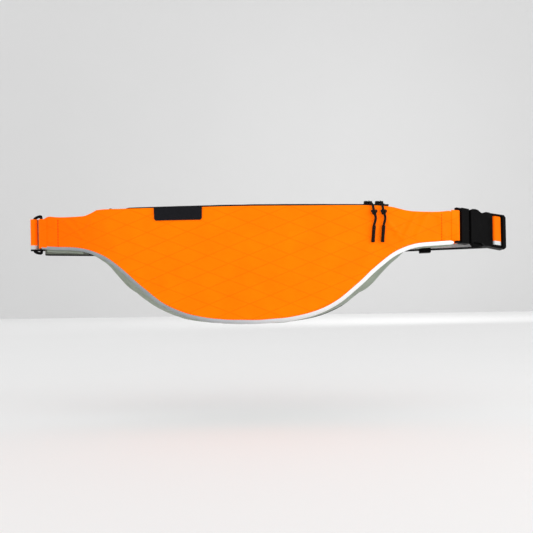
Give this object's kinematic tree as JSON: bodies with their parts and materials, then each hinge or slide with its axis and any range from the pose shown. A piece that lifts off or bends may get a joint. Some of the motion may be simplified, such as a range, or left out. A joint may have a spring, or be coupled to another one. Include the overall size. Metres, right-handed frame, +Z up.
{
  "type": "waist pack",
  "caption": "Shallow curved waist pack with a zipped main compartment, an inner pocket, tapering wings and an adjustable webbing belt closed by a side-release buckle.",
  "frame": {"origin": "on the back panel's rear face, at the bag's centre and at the height of the belt line", "axes": "+X along the belt to the viewer's right, -Y out of the front, +Y towards the wearer, +Z up"},
  "size_m": [0.6247, 0.0903, 0.1552],
  "materials": {
    "laminate": "semi-matte woven laminate with a diamond grid",
    "edge_strip": "satin silver film",
    "gusset": "matte grey-green laminate",
    "mesh": "matte spacer mesh",
    "foam": "matte closed-cell foam",
    "lining": "matte thin cloth",
    "tape": "matte woven tape",
    "coil": "coated coil",
    "zip_metal": "black satin",
    "cord": "braided",
    "sleeve": "matte",
    "label": "matte, blank",
    "buckle": "fine moulded texture",
    "webbing": "ribbed webbing"
  },
  "bodies": {
    "pack": {"front_shell": "laminate", "reflective_edge": "edge_strip", "wing_back_left": "gusset", "wing_back_right": "gusset", "bottom_gusset": "gusset", "back_mesh": "mesh", "back_foam": "foam", "back_lining": "lining", "back_binding": "tape", "top_panel": "gusset", "inner_pocket": "lining", "zip_tape_front": "tape", "zip_tape_rear": "tape", "zip_coil_front": "coil", "zip_coil_rear": "coil", "zip_stops": "zip_metal", "label_patch": "label", "male_buckle": "buckle", "rear_strap": "webbing"},
    "slider_left": {"zip_slider_left": "zip_metal"},
    "slider_right": {"zip_slider_right": "zip_metal"},
    "pull_left": {"pull_cord_left": "cord", "pull_tie_left": "cord", "pull_sleeve_left": "sleeve"},
    "pull_right": {"pull_cord_right": "cord", "pull_tie_right": "cord", "pull_sleeve_right": "sleeve"},
    "arm_top": {"buckle_arm_top": "buckle"},
    "arm_bottom": {"buckle_arm_bottom": "buckle"},
    "female_half": {"female_buckle": "buckle", "strap_buckle_end": "webbing"},
    "keeper": {"strap_keeper": "buckle"},
    "ladder": {"ladder_lock": "buckle", "strap_ladder_end": "webbing"}
  },
  "joints": [
    {"name": "zip_left", "type": "hinge", "parent": "pack", "child": "slider_left", "pos_m": [0, 1.315, 0], "axis": [0, 0, 1], "range_deg": [-13.4, 0.04]},
    {"name": "zip_right", "type": "hinge", "parent": "pack", "child": "slider_right", "pos_m": [0, 1.315, 0], "axis": [0, 0, 1], "range_deg": [-0.04, 0.06]},
    {"name": "pull_lift_left", "type": "hinge", "parent": "slider_left", "child": "pull_left", "pos_m": [0.15157, -0.03904, 0.03525], "axis": [-0.9938, -0.1112, 0], "range_deg": [0, 120]},
    {"name": "pull_lift_right", "type": "hinge", "parent": "slider_right", "child": "pull_right", "pos_m": [0.16609, -0.03734, 0.03525], "axis": [-0.9925, -0.1219, 0], "range_deg": [0, 120]},
    {"name": "buckle_release", "type": "slide", "parent": "pack", "child": "female_half", "axis": [0.9013, 0.4203, -0.1045], "range_m": [0, 0.045], "deforming": ["buckle_arm_top", "buckle_arm_bottom"]},
    {"name": "squeeze_top", "type": "hinge", "parent": "pack", "child": "arm_top", "pos_m": [0.28396, -0.01597, 0.01833], "axis": [-0.431, 0.8942, -0.1212], "range_deg": [0, 6], "stiffness_Nm_per_rad": 0.5},
    {"name": "squeeze_bottom", "type": "hinge", "parent": "pack", "child": "arm_bottom", "pos_m": [0.28269, -0.0206, -0.01128], "axis": [0.431, -0.8942, 0.1212], "range_deg": [0, 6], "stiffness_Nm_per_rad": 0.5},
    {"name": "keeper_slide", "type": "slide", "parent": "female_half", "child": "keeper", "axis": [0.9989, -0.0392, 0.0249], "range_m": [-0.006, 0.07]},
    {"name": "ladder_tilt", "type": "hinge", "parent": "pack", "child": "ladder", "pos_m": [-0.268, -0.02543, 0.001], "axis": [0, 0, -1], "range_deg": [0, 25]}
  ]
}
